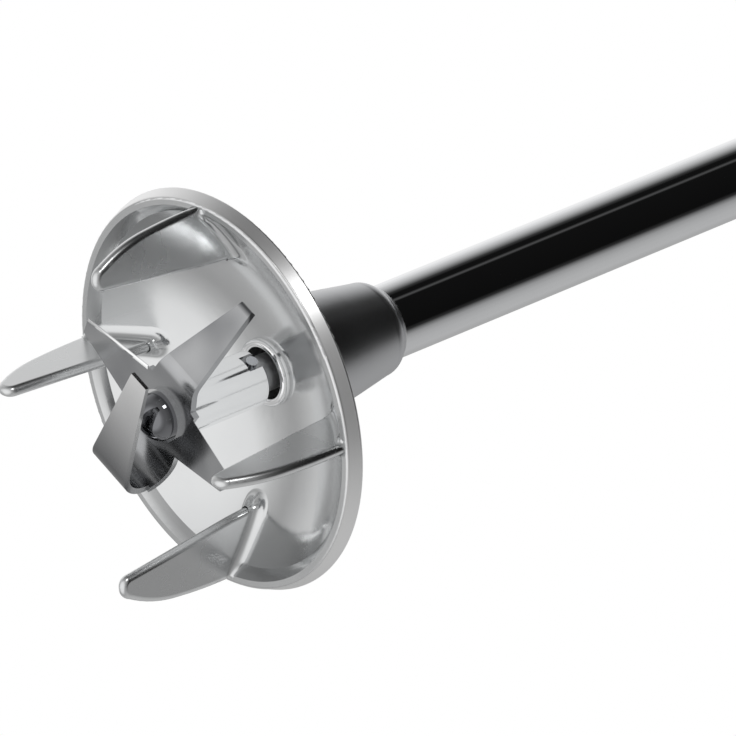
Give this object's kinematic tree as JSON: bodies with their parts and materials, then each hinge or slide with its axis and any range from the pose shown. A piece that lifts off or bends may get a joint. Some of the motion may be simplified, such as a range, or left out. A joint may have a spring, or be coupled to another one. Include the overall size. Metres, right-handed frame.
{
  "type": "immersion blender",
  "caption": "Hand-held immersion blender: steel foot with radial fins and a bent cross blade, long polished shaft, motor drum and trigger grip.",
  "frame": {"origin": "centre of the plane through the four foot fins' tips, on the shaft axis", "axes": "+Z along the shaft towards the handle; -Y is the trigger side; the first fin stands 29.8 degrees from +X"},
  "size_m": [0.1212, 0.1212, 0.621],
  "materials": {
    "polished_steel": "mirror polished stainless",
    "cast_steel": "polished cast stainless",
    "blade_steel": "ground hardened stainless",
    "shaft_steel": "turned steel",
    "bearing_steel": "ground bearing steel",
    "bronze": "sintered bronze",
    "black_rubber": "moulded rubber",
    "nose_alloy": "bead-blasted die casting",
    "bracket_alloy": "raw die casting",
    "ring_plastic": "textured glass-filled nylon",
    "drum_plastic": "fine-textured moulded plastic",
    "grip_plastic": "textured moulded plastic",
    "trigger_plastic": "satin moulded plastic",
    "button_plastic": "gloss moulded plastic",
    "wheel_plastic": "satin moulded plastic",
    "lamination": "stacked silicon steel",
    "copper": "enamelled copper wire",
    "carbon": "pressed carbon",
    "brass": "machined brass",
    "spring_steel": "drawn spring wire",
    "fan_plastic": "moulded nylon",
    "board_laminate": "green solder mask",
    "component_body": "moulded component bodies"
  },
  "bodies": {
    "housing": {"guard": "cast_steel", "neck": "polished_steel", "shaft_tube": "polished_steel", "seal_ring": "polished_steel", "lip_seal": "black_rubber", "lower_bush": "bronze", "middle_bush": "bronze", "tube_head": "shaft_steel", "foot_bearing_outer": "bearing_steel", "nose_casting": "nose_alloy", "nose_screws": "shaft_steel", "lower_bracket": "bracket_alloy", "upper_bracket": "bracket_alloy", "bracket_screws": "shaft_steel", "stator_core": "lamination", "stator_windings": "copper", "lower_motor_bearing_outer": "bearing_steel", "upper_motor_bearing_outer": "bearing_steel", "brush_holders": "brass", "brushes": "carbon", "brush_springs": "spring_steel", "motor_housing": "drum_plastic", "handle_left": "grip_plastic", "handle_right": "grip_plastic", "handle_screws": "shaft_steel", "trigger_pin": "shaft_steel", "trigger_spring": "spring_steel", "lock_spring": "spring_steel", "speed_control": "component_body", "control_board": "board_laminate", "board_parts": "component_body", "trigger_switch": "component_body", "cable_gland": "black_rubber"},
    "drive": {"drive_shaft": "shaft_steel", "blade_sleeve": "polished_steel", "drive_pin": "bearing_steel", "blade": "blade_steel", "blade_washer": "polished_steel", "cap_nut": "polished_steel", "shaft_circlip": "spring_steel", "foot_bearing_inner": "bearing_steel", "coupling_socket": "shaft_steel"},
    "rotor": {"motor_shaft": "shaft_steel", "coupling_driver": "shaft_steel", "lower_motor_bearing_inner": "bearing_steel", "upper_motor_bearing_inner": "bearing_steel", "cooling_fan": "fan_plastic", "armature_core": "lamination", "armature_windings": "copper", "commutator": "brass"},
    "lock_ring": {"lock_ring": "ring_plastic"},
    "trigger": {"trigger": "trigger_plastic"},
    "lock_button": {"lock_button": "button_plastic"},
    "speed_wheel": {"speed_wheel": "wheel_plastic"}
  },
  "joints": [
    {"name": "motor_spin", "type": "hinge", "parent": "housing", "child": "rotor", "pos_m": [0, 0, 0.41], "axis": [0, 0, 1], "continuous": true},
    {"name": "blade_spin", "type": "hinge", "parent": "housing", "child": "drive", "pos_m": [0, 0, 0.2], "axis": [0, 0, 1], "continuous": true},
    {"name": "lock_ring_turn", "type": "hinge", "parent": "housing", "child": "lock_ring", "pos_m": [0, 0, 0.324], "axis": [0, 0, 1], "range_deg": [0, 40]},
    {"name": "trigger_pull", "type": "hinge", "parent": "housing", "child": "trigger", "pos_m": [0, -0.015, 0.562], "axis": [1, 0, 0], "range_deg": [0, 7], "stiffness_Nm_per_rad": 1.5, "springref_deg": -5.73},
    {"name": "lock_press", "type": "slide", "parent": "housing", "child": "lock_button", "axis": [0, -1, 0], "range_m": [0, 0.003], "stiffness_N_per_m": 600, "springref_m": -0.002, "deforming": ["lock_spring"]},
    {"name": "speed_turn", "type": "hinge", "parent": "housing", "child": "speed_wheel", "pos_m": [0, 0.014, 0.586], "axis": [1, 0, 0], "range_deg": [0, 270]}
  ],
  "couplings": [
    {"joint": "blade_spin", "follows": "motor_spin", "ratio": 1}
  ]
}
